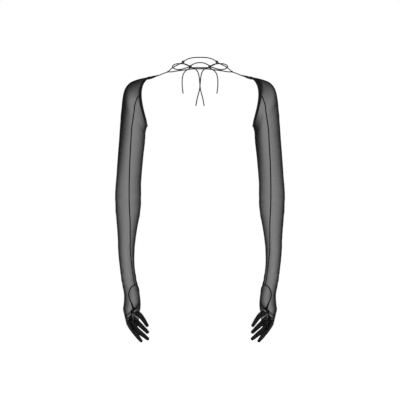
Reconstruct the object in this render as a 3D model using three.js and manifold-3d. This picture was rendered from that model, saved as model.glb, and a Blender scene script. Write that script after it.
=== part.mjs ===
// A pair of sheer shoulder-length opera gloves, joined round the neck by a tied cord.
// Millimetres, +Z up. The wearer faces -Y and the wearer's left hand is on +X.
// The origin is the middle of the neck, level with the top of the cord at the nape.
// Each glove is drawn once, for the left arm, and mirrored for the right one.
import * as THREE from "three";
import { LoftGeometry } from "three/addons/geometries/LoftGeometry.js";
import { mergeVertices } from "three/addons/utils/BufferGeometryUtils.js";
import Module from "manifold-3d";

const wasm = await Module();
wasm.setup();

// Driving sizes.
const SHOULDER_SPAN = 244; // between the hanging points of the two sleeves
const TIP_DROP = 55; // hanging points below the nape
const SLEEVE_LENGTH = 560; // hanging point to wrist
const ELBOW_WIDTH = 73; // sleeve width at the elbow, seen from the front
const HAND_LENGTH = 184; // wrist to middle fingertip
const WALL = 0.8; // fabric wall
const CLEAR = 0.3; // gap between pieces that touch
const SEAM_DIAMETER = 2.4; // rolled seam allowance
const BINDING_WIDTH = 6; // elastic binding round the armhole
const BINDING_THICKNESS = 1.8;
const CORD_DIAMETER = 2.4;
const KNOT_DIAMETER = 6.8; // the two tie knots in front
const SIDE_KNOT_DIAMETER = 6; // where the neck loop meets the shoulder cords
const CORD_END_DIAMETER = 3.8; // stitched ball that each sleeve hangs from
const FORK_RING_WALL = 1.4; // whipping round the cord at the shoulder fork
const FORK_RING_LENGTH = 3;
const FORK_RING_ROOM = 0.7; // round the cord, which bends inside it
const TAB_HEIGHT = 5; // folded tab at the sleeve tip
const TAB_THICKNESS = 2.2;

// Angles that the cut-back ends leave for the joints, in degrees.
const WRIST_PALM_RELIEF = 62;
const WRIST_BACK_RELIEF = 47;
const FINGER_RELIEF = 18;
const THUMB_RELIEF = 10;

// The sizes that the section lists below were drawn at.
const DRAWN_LENGTH = 560;
const DRAWN_WIDTH = 73;
const DRAWN_HAND = 184;

const AROUND = 18; // facets round a sleeve
const FINGER_AROUND = 8;
const CORD_SIDES = 8;
const CORD_STEP = 3; // diameters between the rings of a cord
const WELD = 1e-4;
const SHOULDER_SKEW = 0.7; // how far the armhole's hollow sits above its middle
const POINT_GAIN = 1.3; // keeps the depth of a ring that narrows to a point

const rad = THREE.MathUtils.degToRad;
const lerp = THREE.MathUtils.lerp;
const vec = (x, y, z) => new THREE.Vector3(x, y, z);

// Colours.
const mesh = { color: 0x2b2b2d, roughness: 0.85, metalness: 0 };
const seamThread = { color: 0x0c0c0d, roughness: 0.7, metalness: 0 };
const elastic = { color: 0x09090a, roughness: 0.55, metalness: 0 };
const cordFinish = { color: 0x0a0a0b, roughness: 0.5, metalness: 0 };

const object = new THREE.Group();

// Solids.

function weld(geometry) {
  const bare = new THREE.BufferGeometry();
  bare.setAttribute("position", geometry.getAttribute("position"));
  if (geometry.index) bare.setIndex(geometry.index);
  const merged = mergeVertices(bare, WELD);
  const index = merged.index.array;
  const kept = [];
  for (let i = 0; i < index.length; i += 3) {
    const [a, b, c] = [index[i], index[i + 1], index[i + 2]];
    if (a !== b && b !== c && c !== a) kept.push(a, b, c);
  }
  merged.setIndex(kept);
  return merged;
}

function solid(geometry) {
  const closed = weld(geometry);
  const made = (triVerts) =>
    new wasm.Manifold(
      new wasm.Mesh({
        numProp: 3,
        vertProperties: closed.getAttribute("position").array,
        triVerts,
      }),
    );
  const faces = Uint32Array.from(closed.index.array);
  const first = made(faces);
  return first.volume() > 0 ? first : made(faces.reverse());
}

// A cut can leave crumbs, such as the fabric inside a binding: only the main body is kept.
function mainBody(manifold) {
  const bodies = manifold.decompose();
  return bodies.reduce((best, b) => (b.volume() > best.volume() ? b : best));
}

function geometryOf(manifold) {
  const out = manifold.getMesh();
  const geometry = new THREE.BufferGeometry();
  geometry.setAttribute(
    "position",
    new THREE.BufferAttribute(Float32Array.from(out.vertProperties), 3),
  );
  geometry.setIndex(new THREE.BufferAttribute(Uint32Array.from(out.triVerts), 1));
  return geometry;
}

function addPiece(parent, name, manifold, finish) {
  const piece = new THREE.Mesh(
    geometryOf(mainBody(manifold)),
    new THREE.MeshStandardMaterial(finish),
  );
  piece.name = name;
  parent.add(piece);
}

// A fabric tube, open at both ends: outer sections, then inner ones, back to the start.
const tube = (outer, inner) =>
  solid(new LoftGeometry([...outer, ...inner.toReversed(), outer[0]]));

// A solid through sections, which are turned round first where they run clockwise.
function plug(sections) {
  const [first, second] = sections;
  const across = first[1].clone().sub(first[0]);
  const along = second[0].clone().sub(first[0]);
  const inward = centreOf(first).sub(first[0]);
  const clockwise = across.cross(inward).dot(along) < 0;
  const ordered = clockwise ? sections.map((s) => s.toReversed()) : sections;
  return solid(new LoftGeometry(ordered, { capStart: true, capEnd: true }));
}

function centreOf(points) {
  const sum = points.reduce((total, p) => total.add(p), vec(0, 0, 0));
  return sum.divideScalar(points.length);
}

function polygon(radius, sides) {
  const points = [];
  for (let i = 0; i < sides; i++) {
    const a = (2 * Math.PI * (i + 0.5)) / sides;
    points.push(new THREE.Vector2(radius * Math.cos(a), radius * Math.sin(a)));
  }
  return new THREE.Shape(points);
}

function rope(path, steps, diameter, sides) {
  return solid(
    new THREE.ExtrudeGeometry(polygon(diameter / 2, sides), {
      steps,
      extrudePath: path,
      bevelEnabled: false,
    }),
  );
}

// A closed ring of rope through the points, whose section stays square to the loop.
function ropeLoop(points, diameter, sides) {
  const count = points.length;
  const centre = centreOf(points);
  const sections = points.map((p, i) => {
    const along = points[(i + 1) % count]
      .clone()
      .sub(points[(i + count - 1) % count])
      .normalize();
    const across = along.clone().cross(p.clone().sub(centre)).normalize();
    const outward = across.clone().cross(along);
    return sectionRing(p, across, outward, diameter / 2, sides);
  });
  return solid(new LoftGeometry([...sections, sections[0]]));
}

function sectionRing(centre, first, second, radius, sides) {
  const ring = [];
  for (let i = 0; i < sides; i++) {
    const a = (2 * Math.PI * i) / sides;
    ring.push(
      centre
        .clone()
        .addScaledVector(first, radius * Math.cos(a))
        .addScaledVector(second, radius * Math.sin(a)),
    );
  }
  return ring;
}

// The sleeve, in the glove's own frame: x runs outward from the hanging point, z up.
// Each ring crosses the arm from its outer point to its inner one, both given as
// [outward, down]. depth is its half depth, front to back, about middle; hollow draws
// its front and back outward, point sharpens its top, and seam is the seam's angle,
// from 0 on the outside through 90 at the front to 180 on the inside.
const UPPER_RINGS = [
  { outer: [13, 2.5], inner: [25, 137], depth: 50, middle: 0, hollow: 22.5, point: 1, seam: 80 },
  { outer: [30, 4.5], inner: [26, 141], depth: 50, middle: 0, hollow: 19, point: 0.75, seam: 78 },
  { outer: [53, 11], inner: [27.5, 145], depth: 49, middle: 0, hollow: 14, point: 0.5, seam: 84 },
  { outer: [72, 20], inner: [28.5, 149], depth: 48, middle: 0, hollow: 10, point: 0.3, seam: 90 },
  { outer: [87, 35], inner: [29.5, 153], depth: 48, middle: 0, hollow: 6, point: 0.12, seam: 94 },
  { outer: [94, 57], inner: [30.5, 159], depth: 47, middle: 0, hollow: 3, point: 0, seam: 92 },
  { outer: [97.5, 85], inner: [31, 169], depth: 46, middle: 0, hollow: 0, point: 0, seam: 88 },
  { outer: [101, 125], inner: [32, 185], depth: 45, middle: 0, hollow: 0, point: 0, seam: 87 },
  { outer: [105.4, 187], inner: [35, 210], depth: 43, middle: 0, hollow: 0, point: 0, seam: 89 },
  { outer: [109, 234], inner: [38.5, 245], depth: 42, middle: 0, hollow: 0, point: 0, seam: 91 },
  { outer: [113, 290], inner: [42.5, 293], depth: 41, middle: 1, hollow: 0, point: 0, seam: 95 },
  { outer: [116, 332], inner: [43, 332], depth: 40, middle: 2, hollow: 0, point: 0, seam: 97 },
];
const FOREARM_RINGS = [
  { outer: [116, 332], inner: [43, 332], depth: 40, middle: 2, hollow: 0, point: 0, seam: 97 },
  { outer: [114.3, 376], inner: [44.5, 376], depth: 39, middle: 1, hollow: 0, point: 0, seam: 99 },
  { outer: [110.7, 420], inner: [52.7, 420], depth: 36, middle: -1, hollow: 0, point: 0, seam: 109 },
  { outer: [108, 456], inner: [58, 456], depth: 34, middle: -3, hollow: 0, point: 0, seam: 116 },
  { outer: [106.2, 486], inner: [60.6, 486], depth: 32, middle: -5, hollow: 0, point: 0, seam: 121 },
  { outer: [101, 531], inner: [61.2, 531], depth: 29, middle: -8, hollow: 0, point: 0, seam: 131 },
  { outer: [96.7, 560], inner: [57.3, 560], depth: 27.5, middle: -11, hollow: 0, point: 0, seam: 132 },
];
// The hand's rings count down from the wrist.
const HAND_RINGS = [
  { outer: [96.7, 0], inner: [57.3, 0], depth: 27.5, middle: -11, hollow: 0, point: 0, seam: 130 },
  { outer: [93, 25], inner: [54, 25], depth: 31, middle: -13, hollow: 0, point: 0, seam: 130 },
  { outer: [89.3, 50], inner: [52, 50], depth: 36, middle: -15, hollow: 0, point: 0, seam: 130 },
  { outer: [90.3, 75], inner: [56, 75], depth: 39, middle: -17, hollow: 0, point: 0, seam: 130 },
  { outer: [92, 90], inner: [63.5, 90], depth: 40.5, middle: -18, hollow: 0, point: 0, seam: 130 },
  { outer: [89.5, 108], inner: [69.5, 108], depth: 40, middle: -18, hollow: 0, point: 0, seam: 130 },
];
const KNUCKLE_SLOPE = 0.3; // the line of the webs rises this much per mm towards the little finger

const widthScale = ELBOW_WIDTH / DRAWN_WIDTH;
const lengthScale = SLEEVE_LENGTH / DRAWN_LENGTH;
const handScale = HAND_LENGTH / DRAWN_HAND;

// A ring with its real sizes: a centre, a half width vector and a half depth.
function sized(ring, downScale, downStart) {
  const centre = vec(
    (ring.outer[0] + ring.inner[0]) / 2,
    ring.middle,
    -(downStart + (downScale * (ring.outer[1] + ring.inner[1])) / 2),
  );
  const half = vec(
    (widthScale * (ring.outer[0] - ring.inner[0])) / 2,
    0,
    (-downScale * (ring.outer[1] - ring.inner[1])) / 2,
  );
  return {
    centre,
    half,
    depth: ring.depth * widthScale,
    hollow: ring.hollow * widthScale,
    point: ring.point,
    seam: ring.seam,
  };
}

// The point of a ring at an angle in degrees; inset moves it into the fabric.
function ringPoint(ring, degrees, inset = 0) {
  const a = rad(degrees);
  const front = Math.sin(a);
  const out = Math.cos(a);
  const narrow = lerp(1, POINT_GAIN * Math.abs(Math.sin(a / 2)), ring.point);
  const half = ring.half.clone().setLength(ring.half.length() - inset);
  const p = ring.centre.clone().addScaledVector(half, out);
  p.x += ring.hollow * Math.abs(front) * (1 + SHOULDER_SKEW * out);
  p.y -= (ring.depth - inset) * front * narrow;
  return p;
}

function ringSection(ring, inset, lift = () => 0) {
  const section = [];
  for (let i = 0; i < AROUND; i++) {
    const p = ringPoint(ring, ring.seam + (360 * i) / AROUND, inset);
    p.z += lift(p);
    section.push(p);
  }
  return section;
}

const upper = UPPER_RINGS.map((r) => sized(r, lengthScale, 0));
const forearm = FOREARM_RINGS.map((r) => sized(r, lengthScale, 0));
const hand = HAND_RINGS.map((r) => sized(r, handScale, SLEEVE_LENGTH));
const wristCentre = hand[0].centre;
const knuckles = hand.at(-1);

// The ends of a tube are cut back from a joint's plane, by lift functions on z.
const none = () => 0;
const upFromJoint = () => CLEAR / 2;
const downFromJoint = () => -CLEAR / 2;
function wristCut(p) {
  const out = p.x - wristCentre.x;
  const relief = out > 0 ? WRIST_BACK_RELIEF : WRIST_PALM_RELIEF;
  return CLEAR / 2 + Math.abs(out) * Math.tan(rad(relief / 2));
}
const belowWrist = (p) => -wristCut(p);
const knuckleCut = (p) => KNUCKLE_SLOPE * (p.y - knuckles.centre.y);

// The sections of one surface of a tube, whose first and last follow the cuts.
function surface(rings, inset, firstCut, lastCut) {
  const cutOf = (i) => {
    if (i === 0) return firstCut;
    return i === rings.length - 1 ? lastCut : none;
  };
  return rings.map((r, i) => ringSection(r, inset, cutOf(i)));
}

const fabricTube = (rings, firstCut, lastCut) =>
  tube(surface(rings, 0, firstCut, lastCut), surface(rings, WALL, firstCut, lastCut));

// Seams run down the middle of the wall.
function seamPath(rings, startCut, endCut) {
  return rings.map((r, i) => {
    const p = ringPoint(r, r.seam, WALL / 2);
    if (i === 0) p.z += startCut(p);
    if (i === rings.length - 1) p.z += endCut(p);
    return p;
  });
}
const SEAM_SIDES = 6;
const seamRope = (points, extra) =>
  rope(
    new THREE.CatmullRomCurve3(points),
    points.length,
    SEAM_DIAMETER + extra,
    SEAM_SIDES,
  );

// Armhole binding: an open band along the first ring, whose ends meet at the sleeve tip.
const BINDING_GAP_ANGLE = 16; // how far the band's ends stay from the tip
const BINDING_STEPS = 22;
function binding(extra) {
  const sections = [];
  const width = BINDING_WIDTH / 2 + extra;
  const thickness = BINDING_THICKNESS / 2 + extra;
  for (let i = 0; i <= BINDING_STEPS; i++) {
    const share = i / BINDING_STEPS;
    const angle = lerp(BINDING_GAP_ANGLE, 360 - BINDING_GAP_ANGLE, share);
    const at = ringPoint(upper[0], angle, WALL / 2);
    const along = ringPoint(upper[0], angle + 1, WALL / 2)
      .sub(ringPoint(upper[0], angle - 1, WALL / 2))
      .normalize();
    const down = ringPoint(upper[2], angle, WALL / 2).sub(at);
    down.addScaledVector(along, -down.dot(along)).normalize();
    const outward = along.clone().cross(down);
    const corner = (w, t) =>
      at.clone().addScaledVector(down, w * width).addScaledVector(outward, t * thickness);
    sections.push([
      corner(1, 0.5),
      corner(0.75, 1),
      corner(-0.75, 1),
      corner(-1, 0.5),
      corner(-1, -0.5),
      corner(-0.75, -1),
      corner(0.75, -1),
      corner(1, -0.5),
    ]);
  }
  return plug(sections);
}

// Folded tab from the sleeve tip to the cord's stitched end.
function tab(extra) {
  const start = CORD_END_DIAMETER / 2 + CLEAR;
  const tip = ringPoint(upper[0], 0);
  const end = ringPoint(upper[0], BINDING_GAP_ANGLE);
  const rectangle = (x, z, height, thickness) => {
    const h = height / 2 + extra;
    const t = thickness / 2 + extra;
    return [vec(x, -t, z + h), vec(x, t, z + h), vec(x, t, z - h), vec(x, -t, z - h)];
  };
  return plug([
    rectangle(start, 0, CORD_DIAMETER, TAB_THICKNESS),
    rectangle(tip.x, tip.z, TAB_HEIGHT, TAB_THICKNESS),
    rectangle(end.x - CLEAR, end.z, TAB_HEIGHT, CORD_DIAMETER / 2),
  ]);
}

// Thumb. Its opening is a teardrop on the hand, as [angle round the hand, mm below the
// wrist], from the top down the back-of-hand side and up the palm side.
const THUMB_OPENING = [
  [130, 22.6],
  [91, 31.5],
  [66, 48],
  [70, 62],
  [92, 76],
  [122, 86],
  [150, 88],
  [184, 83],
  [208, 70],
  [214, 53],
  [200, 39],
  [176, 29],
];
const THUMB_ROOT = { x: 56, y: -68, down: 88, radius: 9.8 }; // where the thumb leaves its base
const THUMB_BULGE = 3; // how far the thumb's base swells between the two
const THUMB_PATH = [
  { x: 55, y: -69.5, down: 102, radius: 8.6 },
  { x: 54, y: -71, down: 116, radius: 7.6 },
  { x: 53.4, y: -72, down: 127, radius: 6.6 },
  { x: 53.2, y: -72.4, down: 133, radius: 4.4 },
];
const THUMB_TIP = { x: 53.1, y: -72.6, down: 136 };

function handPoint(degrees, down, inset) {
  const z = -(SLEEVE_LENGTH + handScale * down);
  let i = 1;
  while (i < hand.length - 1 && hand[i].centre.z > z) i++;
  const share = (hand[i - 1].centre.z - z) / (hand[i - 1].centre.z - hand[i].centre.z);
  return ringPoint(hand[i - 1], degrees, inset).lerp(
    ringPoint(hand[i], degrees, inset),
    share,
  );
}

// A spot of the hand, whose x and y grow with the width about the middle of the wrist.
const handAt = (spot) =>
  vec(
    lerp(wristCentre.x, spot.x, widthScale),
    lerp(wristCentre.y, spot.y, widthScale),
    -(SLEEVE_LENGTH + handScale * spot.down),
  );
const outwardAxis = vec(1, 0, 0);
const forwardAxis = vec(0, -1, 0);

function thumbRing(spot, inset) {
  const sides = THUMB_OPENING.length;
  const radius = widthScale * spot.radius - inset;
  return sectionRing(handAt(spot), forwardAxis, outwardAxis, radius, sides);
}

const openingLoop = (inset) => THUMB_OPENING.map(([a, d]) => handPoint(a, d, inset));

// Moves the points of a ring towards its centre.
function shrunk(points, distance) {
  const centre = centreOf(points);
  return points.map((p) => {
    const spoke = p.clone().sub(centre);
    return centre.clone().add(spoke.setLength(spoke.length() - distance));
  });
}

function thumbBase() {
  const start = openingLoop(0);
  const end = thumbRing(THUMB_ROOT, 0);
  const swell = centreOf(end).sub(centreOf(start)).setZ(0).normalize();
  const middle = start.map((p, i) =>
    p.clone().lerp(end[i], 0.5).addScaledVector(swell, THUMB_BULGE),
  );
  const outer = [start, middle, end];
  return tube(outer, outer.map((ring) => shrunk(ring, WALL)));
}

// The hand as a solid, a clearance bigger all round.
const handPlug = () => plug(surface(hand, -CLEAR, belowWrist, knuckleCut));

function openingCutter() {
  const loop = openingLoop(WALL / 2);
  const axis = centreOf(loop).sub(centreOf(hand.map((r) => r.centre))).setZ(0).normalize();
  const reach = 14;
  const moved = (distance) => loop.map((p) => p.clone().addScaledVector(axis, distance));
  return plug([moved(-reach), moved(reach)]);
}

// A closed-ended sheath: outer and inner sections with a point at the tip of each.
function sheath(outer, inner, tip, innerTip) {
  const pole = (p, like) => like.map(() => p.clone());
  return solid(
    new LoftGeometry([
      ...outer,
      pole(tip, outer[0]),
      pole(innerTip, outer[0]),
      ...inner.toReversed(),
      outer[0],
    ]),
  );
}

function thumbSheath() {
  const front = handAt(THUMB_ROOT).y - widthScale * THUMB_ROOT.radius;
  const hinged = (inset) =>
    thumbRing(THUMB_ROOT, inset).map((p) => {
      p.z -= CLEAR + (p.y - front) * Math.tan(rad(THUMB_RELIEF));
      return p;
    });
  const wall = (inset) => [hinged(inset), ...THUMB_PATH.map((s) => thumbRing(s, inset))];
  const tip = handAt(THUMB_TIP);
  return sheath(wall(0), wall(WALL), tip, tip.clone().setZ(tip.z + WALL));
}

// Fingers: a centre line as [outward, mm below the wrist] with a radius at each point.
const FINGERS = {
  index_finger: {
    y: -46,
    line: [[78, 125], [72.5, 136], [65, 149], [53.5, 165], [43.5, 178.5]],
    radii: [8.8, 8.3, 7.6, 7, 6.2, 4.4],
  },
  middle_finger: {
    y: -26,
    line: [[75.5, 118.5], [65, 133], [54, 147], [43, 159], [27.5, 174.5]],
    radii: [8.8, 8.4, 7.7, 7.1, 6.5, 4.6],
  },
  ring_finger: {
    y: -6,
    line: [[73.5, 112.5], [63.5, 121.5], [53.5, 130], [43.6, 139], [29.5, 156.5]],
    radii: [8.6, 8, 7.3, 6.8, 6.2, 4.5],
  },
  little_finger: {
    y: 13,
    line: [[74, 109], [63.5, 115], [50.5, 120.5], [38.5, 128], [28.5, 139.5]],
    radii: [7.8, 7.3, 6.8, 6.3, 5.7, 4.1],
  },
};
const FINGER_TIP = 0.8; // length of the rounded tip, as a share of the last radius
const backAxis = vec(0, 1, 0);

const knuckleZ = (y) => knuckles.centre.z + KNUCKLE_SLOPE * (y - knuckles.centre.y);

// A finger starts at the hand's palm side, just below its edge, and turns there.
function fingerHinge(y) {
  const share = (y - knuckles.centre.y) / knuckles.depth;
  const half = knuckles.half.length() * Math.sqrt(1 - share * share);
  return vec(knuckles.centre.x - half, y, knuckleZ(y) - CLEAR);
}

function fingerSheath({ y, line, radii }) {
  const level = handAt({ x: 0, y, down: 0 }).y;
  const wide = radii.map((radius) => widthScale * radius);
  const tilt = rad(FINGER_RELIEF);
  const slant = vec(Math.cos(tilt), 0, -Math.sin(tilt));
  const points = [
    fingerHinge(level).addScaledVector(slant, wide[0]),
    ...line.map(([x, down]) => handAt({ x, y, down })),
  ];
  const last = points.length - 1;
  const tipDirection = points[last].clone().sub(points[last - 1]).normalize();
  const mouth = (inset) =>
    sectionRing(points[0], slant, backAxis, wide[0] - inset, FINGER_AROUND).map((p) => {
      p.z += KNUCKLE_SLOPE * (p.y - level);
      return p;
    });
  const wall = (inset) => [
    mouth(inset),
    ...points.slice(1).map((p, i) => {
      const to = points[Math.min(i + 2, last)];
      const direction = to.clone().sub(points[i]).normalize();
      const across = vec(-direction.z, 0, direction.x);
      return sectionRing(p, across, backAxis, wide[i + 1] - inset, FINGER_AROUND);
    }),
  ];
  const tipAt = (inset) =>
    points[last].clone().addScaledVector(tipDirection, FINGER_TIP * wide[last] - inset);
  return sheath(wall(0), wall(WALL), tipAt(0), tipAt(WALL));
}

// One glove, in its own frame.
function addGlove(side, direction) {
  const glove = new THREE.Group();
  glove.position.set((direction * SHOULDER_SPAN) / 2, 0, -TIP_DROP);
  glove.scale.x = direction;
  object.add(glove);
  const add = (name, manifold, finish) => addPiece(glove, `${side}_${name}`, manifold, finish);

  const upperSeam = seamPath(upper, none, upFromJoint);
  const firstPoint = upperSeam[0].clone().lerp(
    upperSeam[1],
    (BINDING_WIDTH / 2 + 2 * CLEAR) / upperSeam[0].distanceTo(upperSeam[1]),
  );
  upperSeam[0] = firstPoint;
  const forearmSeam = seamPath(forearm, downFromJoint, wristCut);
  const band = binding(0);
  const bandRoom = binding(CLEAR);

  add(
    "upper_sleeve",
    fabricTube(upper, none, upFromJoint)
      .subtract(bandRoom)
      .subtract(tab(CLEAR))
      .subtract(seamRope(upperSeam, 2 * CLEAR)),
    mesh,
  );
  add("armhole_binding", band, elastic);
  add("shoulder_tab", tab(0).subtract(bandRoom), elastic);
  add("upper_seam", seamRope(upperSeam, 0).subtract(bandRoom), seamThread);
  add(
    "forearm_sleeve",
    fabricTube(forearm, downFromJoint, wristCut).subtract(seamRope(forearmSeam, 2 * CLEAR)),
    mesh,
  );
  add("forearm_seam", seamRope(forearmSeam, 0), seamThread);

  const loop = openingLoop(WALL / 2);
  const seamRoom = ropeLoop(loop, SEAM_DIAMETER + 2 * CLEAR, SEAM_SIDES);
  add(
    "hand",
    fabricTube(hand, belowWrist, knuckleCut).subtract(openingCutter()).subtract(seamRoom),
    mesh,
  );
  add("thumb_base", thumbBase().subtract(handPlug()).subtract(seamRoom), mesh);
  add("thumb_seam", ropeLoop(loop, SEAM_DIAMETER, SEAM_SIDES), seamThread);
  add("thumb", thumbSheath(), mesh);
  for (const [name, finger] of Object.entries(FINGERS)) add(name, fingerSheath(finger), mesh);
}

// Neck cords, drawn for the left side. The wearer's neck is inside the loop.
const mirrored = ([x, y, z]) => [-x, y, z];
const TIE_KNOT = [27, -72, -28];
const SIDE_KNOT = [47, 2, -14.3];
const FORK = [90, 3.5, -42.2];
const NAPE = [[45, 20, -12.3], [39.5, 36, -9.3], [31, 49.5, -4.5], [17, 59, -0.8], [0, 62, 0]];
const SHOULDER = [
  [54, 3, -18.6],
  [61.6, 4, -22.4],
  [70, 4.5, -26.8],
  [77.6, 4.5, -31.6],
  [84, 4, -37.2],
  FORK,
  [97, 2.5, -45],
  [104.5, 1.5, -47.8],
  [113, 0.5, -51.2],
];
const THROAT = [[47, -14, -15.5], [46, -30, -17.5], [43.7, -46, -19.8], [40, -57, -22.3], [33, -66, -25.2]];
const FRONT = [
  [82, -10, -42.6],
  [74, -20, -41.6],
  [60, -37, -39.3],
  [45, -51, -37.4],
  [33, -61, -35.7],
  [22.4, -69, -34.4],
  [11, -72.4, -34],
  [0, -73, -34],
];
const CENTRE_LOOP = [[25, -72.3, -24.7], [19, -73, -21], [10.5, -73.6, -17.8], [0, -74, -16.5]];
const CENTRE_BAR = [[22, -73, -30.4], [11, -73, -30.6], [0, -73, -30.6]];
const BOW = [
  [30, -74, -25.8],
  [37, -75.4, -22.2],
  [44, -75.6, -20.2],
  [52.6, -74.4, -19.6],
  [65, -70, -19.8],
  [74, -66, -23.2],
  [77.2, -64.4, -28.4],
  [72.2, -66, -33.4],
  [61.6, -70, -36],
  [50.7, -73.6, -34.8],
  [41, -75.4, -31.8],
  [30.5, -74, -29.2],
];
const OUTER_TAIL = [
  [28.8, -73.2, -32.2],
  [31.5, -75.6, -34],
  [36, -78, -36.6],
  [41, -78.6, -40.4],
  [45.5, -78.6, -46.5],
  [48.3, -78.4, -54.5],
  [49.6, -78.2, -63.3],
  [50, -78, -72],
  [49.8, -78, -81.2],
  [49, -78, -90],
  [48.2, -78, -97.4],
  [46.8, -78, -103.6],
];
const INNER_TAIL = [
  [25.4, -76, -30.6],
  [21, 0, -31],
  [15.4, 0, -33],
  [10.5, 0, -36.6],
  [6.8, 0, -41.5],
  [4.2, 0, -48],
  [2.4, 0, -56],
  [1.3, 0, -66],
  [0.3, 0, -78],
  [-1, 0, -90],
  [-4, 0, -102.4],
  [-7.8, 0, -117],
  [-11.8, 0, -138.3],
];
const INNER_TAIL_Y = { left: -79.4, right: -76.4 }; // the left one crosses in front

const toVector = ([x, y, z]) => vec(x, y, z);

// The point just clear of a knot's surface on the way to another point.
function leaving(knot, diameter, towards) {
  const from = toVector(knot);
  const way = toVector(towards).sub(from).normalize();
  return from.addScaledVector(way, diameter / 2 + CLEAR);
}

function bead(at, diameter) {
  const geometry = new THREE.SphereGeometry(diameter / 2, 10, 8);
  geometry.translate(...at);
  return solid(geometry);
}

function cord(points) {
  const path = new THREE.CatmullRomCurve3(points);
  const steps = Math.max(2, Math.round(path.getLength() / (CORD_STEP * CORD_DIAMETER)));
  return rope(path, steps, CORD_DIAMETER, CORD_SIDES);
}

function forkRing() {
  const inner = CORD_DIAMETER / 2 + FORK_RING_ROOM;
  const outer = inner + FORK_RING_WALL;
  const half = FORK_RING_LENGTH / 2;
  const profile = [
    new THREE.Vector2(inner, -half),
    new THREE.Vector2(outer, -half / 2),
    new THREE.Vector2(outer, half / 2),
    new THREE.Vector2(inner, half),
    new THREE.Vector2(inner, -half),
  ];
  const geometry = new THREE.LatheGeometry(profile, 10);
  const i = SHOULDER.indexOf(FORK);
  const along = toVector(SHOULDER[i + 1]).sub(toVector(SHOULDER[i - 1])).normalize();
  geometry.applyQuaternion(new THREE.Quaternion().setFromUnitVectors(vec(0, 1, 0), along));
  geometry.translate(...FORK);
  return { ring: solid(geometry), reach: outer };
}

function addNeck() {
  const add = (name, manifold) => addPiece(object, name, manifold, cordFinish);
  const neck = new THREE.Group();
  object.add(neck);

  const whole = (half, start) => [
    start,
    ...half.map(toVector),
    ...half.slice(0, -1).reverse().map(mirrored).map(toVector),
    start.clone().setX(-start.x),
  ];
  const { ring, reach } = forkRing();
  const forkStart = toVector(FORK).addScaledVector(
    toVector(FRONT[0]).sub(toVector(FORK)).normalize(),
    reach + CLEAR + CORD_DIAMETER / 4,
  );
  add("nape_cord", cord(whole(NAPE, leaving(SIDE_KNOT, SIDE_KNOT_DIAMETER, NAPE[0]))));
  add("front_cord", cord(whole(FRONT, forkStart)));
  add("centre_loop", cord(whole(CENTRE_LOOP.slice(1), toVector(CENTRE_LOOP[0]))));
  add("centre_bar", cord(whole(CENTRE_BAR.slice(1), toVector(CENTRE_BAR[0]))));

  const hanging = [SHOULDER_SPAN / 2, 0, -TIP_DROP];
  const shoulderCord = cord([
    leaving(SIDE_KNOT, SIDE_KNOT_DIAMETER, SHOULDER[0]),
    ...SHOULDER.map(toVector),
    toVector(hanging),
  ]).add(bead(hanging, CORD_END_DIAMETER));
  const throatCord = cord([
    leaving(SIDE_KNOT, SIDE_KNOT_DIAMETER, THROAT[0]),
    ...THROAT.map(toVector),
    leaving(TIE_KNOT, KNOT_DIAMETER, THROAT.at(-1)),
  ]);
  const outerTail = cord(OUTER_TAIL.map(toVector));
  const pieces = {
    shoulder_cord: shoulderCord,
    throat_cord: throatCord,
    side_knot: bead(SIDE_KNOT, SIDE_KNOT_DIAMETER),
    tie_knot: bead(TIE_KNOT, KNOT_DIAMETER),
    fork_knot: ring,
    bow_loop: cord(BOW.map(toVector)),
    outer_tail: outerTail,
  };
  for (const [side, direction] of Object.entries({ left: 1, right: -1 })) {
    const half = new THREE.Group();
    half.scale.x = direction;
    neck.add(half);
    for (const [name, manifold] of Object.entries(pieces))
      addPiece(half, `${side}_${name}`, manifold, cordFinish);
    const level = INNER_TAIL_Y[side];
    const tail = INNER_TAIL.map(([x, y, z], i) => vec(x, i === 0 ? y : level, z));
    addPiece(half, `${side}_inner_tail`, cord(tail), cordFinish);
  }
}

addNeck();
addGlove("left", 1);
addGlove("right", -1);

export default object;
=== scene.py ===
import math

import bpy
import numpy as np
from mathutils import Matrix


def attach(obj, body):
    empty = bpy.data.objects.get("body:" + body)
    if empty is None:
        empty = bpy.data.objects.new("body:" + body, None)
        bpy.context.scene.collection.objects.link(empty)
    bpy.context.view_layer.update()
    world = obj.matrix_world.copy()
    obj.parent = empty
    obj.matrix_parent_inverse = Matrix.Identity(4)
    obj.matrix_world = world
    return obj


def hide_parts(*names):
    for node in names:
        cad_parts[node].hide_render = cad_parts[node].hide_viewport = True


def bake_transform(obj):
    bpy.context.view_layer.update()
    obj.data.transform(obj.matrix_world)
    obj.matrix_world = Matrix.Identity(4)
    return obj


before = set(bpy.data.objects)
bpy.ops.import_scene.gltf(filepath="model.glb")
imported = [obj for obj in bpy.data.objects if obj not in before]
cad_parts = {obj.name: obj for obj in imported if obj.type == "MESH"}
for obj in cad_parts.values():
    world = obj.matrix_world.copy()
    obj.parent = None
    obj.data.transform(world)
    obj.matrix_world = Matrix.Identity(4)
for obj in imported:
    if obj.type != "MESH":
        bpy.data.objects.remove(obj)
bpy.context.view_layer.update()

# A pair of sheer stretch gloves, worn to the shoulder, and the cord that ties them round the neck.
# Sizes are in millimetres for the left glove. The right one is its mirror image.
MM = 0.001
HALF_SPAN = 122  # from the middle of the neck to the tip of a sleeve
TIP_DROP = 55  # how far the tip hangs below the nape of the neck
CORD = 3.0  # diameter of the neck cord

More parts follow.
